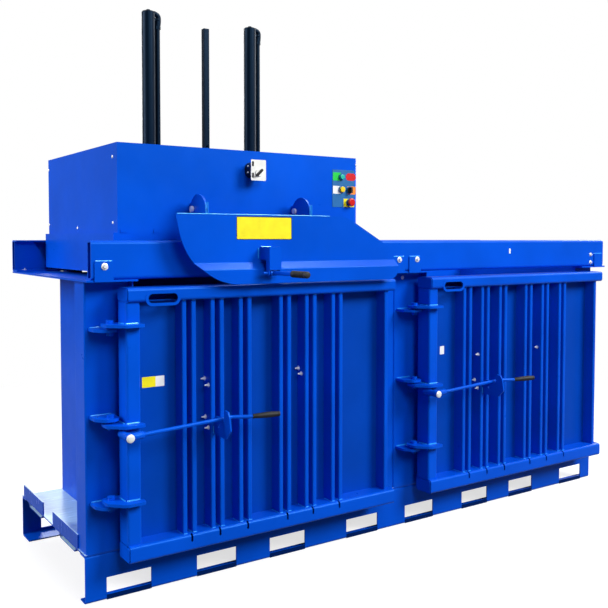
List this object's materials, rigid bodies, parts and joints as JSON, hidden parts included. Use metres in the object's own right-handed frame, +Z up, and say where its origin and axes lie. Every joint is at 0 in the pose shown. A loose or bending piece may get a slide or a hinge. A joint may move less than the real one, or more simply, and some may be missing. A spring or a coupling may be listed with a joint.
{
  "type": "recycling baler",
  "caption": "Two-chamber vertical recycling baler: slotted, ribbed doors with lever catches and a press head that rolls on rails from chamber to chamber.",
  "frame": {"origin": "on the floor, under the centre of the machine", "axes": "+X along the rails from chamber one to chamber two, +Y to the rear, +Z up"},
  "size_m": [3.28, 1.533, 2.6],
  "materials": {
    "blue_paint": "gloss",
    "floor_paint": "high gloss",
    "dark_paint": "gloss",
    "grey_paint": "satin",
    "bright_steel": "zinc plated",
    "rod_chrome": "polished",
    "valve_aluminium": "machined",
    "black_rubber": "ribbed",
    "black_plastic": "matt",
    "panel_film": "satin",
    "green_plastic": "gloss",
    "yellow_plastic": "gloss",
    "red_plastic": "gloss",
    "wheel_plastic": "satin"
  },
  "bodies": {
    "base": {"front_skirt": "blue_paint", "rear_skirt": "blue_paint", "floor_plate": "floor_paint", "left_front_post": "blue_paint", "middle_left_post": "blue_paint", "middle_right_post": "blue_paint", "right_front_post": "blue_paint", "chamber_1_shell": "blue_paint", "chamber_2_shell": "blue_paint", "rear_columns": "blue_paint", "left_rail_bearer": "blue_paint", "middle_rail_bearer": "blue_paint", "right_rail_bearer": "blue_paint", "front_rail_left": "blue_paint", "front_rail_right": "blue_paint", "rear_rail_left": "blue_paint", "rear_rail_right": "blue_paint", "fixed_hinge_leaves": "blue_paint", "hinge_pins": "blue_paint"},
    "head": {"carriage_frame": "blue_paint", "head_cabinet": "blue_paint", "cabinet_side_panel": "blue_paint", "press_cylinders": "dark_paint", "oil_pipes": "dark_paint", "hydraulic_tank": "grey_paint", "pump_motor": "grey_paint", "valve_block": "valve_aluminium", "isolator_base": "black_plastic", "control_panel": "panel_film", "hood_pivot_bolts": "bright_steel"},
    "front_left_wheel": {"front_left_roller": "wheel_plastic"},
    "rear_left_wheel": {"rear_left_roller": "wheel_plastic"},
    "front_right_wheel": {"front_right_roller": "wheel_plastic"},
    "rear_right_wheel": {"rear_right_roller": "wheel_plastic"},
    "isolator": {"isolator_handle": "black_plastic"},
    "start": {"start_button": "green_plastic"},
    "reset": {"reset_button": "yellow_plastic"},
    "selector": {"mode_selector": "black_plastic"},
    "stop": {"emergency_stop": "red_plastic"},
    "hood": {"hood_shield": "blue_paint", "latch_bracket": "blue_paint"},
    "latch": {"latch_lever": "blue_paint", "latch_grip": "black_rubber"},
    "press": {"press_plate": "blue_paint", "piston_rods": "rod_chrome", "level_bar": "dark_paint"},
    "door_1": {"door_1_frame": "blue_paint", "door_1_panel": "blue_paint", "door_1_ribs": "blue_paint", "door_1_hinge_leaves": "blue_paint", "door_1_catch_plate": "blue_paint"},
    "lever_1": {"door_1_lever": "blue_paint", "door_1_lever_grip": "black_rubber"},
    "door_2": {"door_2_frame": "blue_paint", "door_2_panel": "blue_paint", "door_2_ribs": "blue_paint", "door_2_hinge_leaves": "blue_paint", "door_2_catch_plate": "blue_paint"},
    "lever_2": {"door_2_lever": "blue_paint", "door_2_lever_grip": "black_rubber"}
  },
  "joints": [
    {"name": "head_slide", "type": "slide", "parent": "base", "child": "head", "axis": [1, 0, 0], "range_m": [0, 1.634]},
    {"name": "press_stroke", "type": "slide", "parent": "head", "child": "press", "axis": [0, 0, -1], "range_m": [0, 0.64]},
    {"name": "hood_swing", "type": "hinge", "parent": "head", "child": "hood", "pos_m": [-0.851, -0.3115, 1.63], "axis": [-1, 0, 0], "range_deg": [0, 58]},
    {"name": "latch_swing", "type": "hinge", "parent": "hood", "child": "latch", "pos_m": [-0.864, -0.5015, 1.355], "axis": [1, 0, 0], "range_deg": [0, 90]},
    {"name": "front_left_roll", "type": "hinge", "parent": "head", "child": "front_left_wheel", "pos_m": [-1.405, -0.308, 1.4103], "axis": [0, 1, 0], "range_deg": [0, 1445]},
    {"name": "rear_left_roll", "type": "hinge", "parent": "head", "child": "rear_left_wheel", "pos_m": [-1.405, 0.714, 1.4103], "axis": [0, 1, 0], "range_deg": [0, 1445]},
    {"name": "front_right_roll", "type": "hinge", "parent": "head", "child": "front_right_wheel", "pos_m": [-0.297, -0.308, 1.4103], "axis": [0, 1, 0], "range_deg": [0, 1445]},
    {"name": "rear_right_roll", "type": "hinge", "parent": "head", "child": "rear_right_wheel", "pos_m": [-0.297, 0.714, 1.4103], "axis": [0, 1, 0], "range_deg": [0, 1445]},
    {"name": "isolator_turn", "type": "hinge", "parent": "head", "child": "isolator", "pos_m": [-0.835, -0.3355, 1.798], "axis": [0, 1, 0], "range_deg": [0, 90]},
    {"name": "start_push", "type": "slide", "parent": "head", "child": "start", "axis": [0, 1, 0], "range_m": [0, 0.004], "stiffness_N_per_m": 600},
    {"name": "reset_push", "type": "slide", "parent": "head", "child": "reset", "axis": [0, 1, 0], "range_m": [0, 0.004], "stiffness_N_per_m": 600},
    {"name": "selector_turn", "type": "hinge", "parent": "head", "child": "selector", "pos_m": [-0.281, -0.2845, 1.741], "axis": [0, 1, 0], "range_deg": [-45, 45]},
    {"name": "stop_push", "type": "slide", "parent": "head", "child": "stop", "axis": [0, 1, 0], "range_m": [0, 0.004]},
    {"name": "door_1_hinge", "type": "hinge", "parent": "base", "child": "door_1", "pos_m": [-1.541, -0.3395, 0.7], "axis": [0, 0, -1], "range_deg": [0, 110]},
    {"name": "lever_1_lift", "type": "hinge", "parent": "door_1", "child": "lever_1", "pos_m": [-1.52, -0.4775, 0.722], "axis": [0, -1, 0], "range_deg": [0, 45]},
    {"name": "door_2_hinge", "type": "hinge", "parent": "base", "child": "door_2", "pos_m": [0.093, -0.3395, 0.7], "axis": [0, 0, -1], "range_deg": [0, 110]},
    {"name": "lever_2_lift", "type": "hinge", "parent": "door_2", "child": "lever_2", "pos_m": [0.114, -0.4775, 0.722], "axis": [0, -1, 0], "range_deg": [0, 45]}
  ],
  "couplings": [
    {"joint": "front_left_roll", "follows": "head_slide", "rad_per_m": 15.385},
    {"joint": "rear_left_roll", "follows": "head_slide", "rad_per_m": 15.385},
    {"joint": "front_right_roll", "follows": "head_slide", "rad_per_m": 15.385},
    {"joint": "rear_right_roll", "follows": "head_slide", "rad_per_m": 15.385}
  ]
}
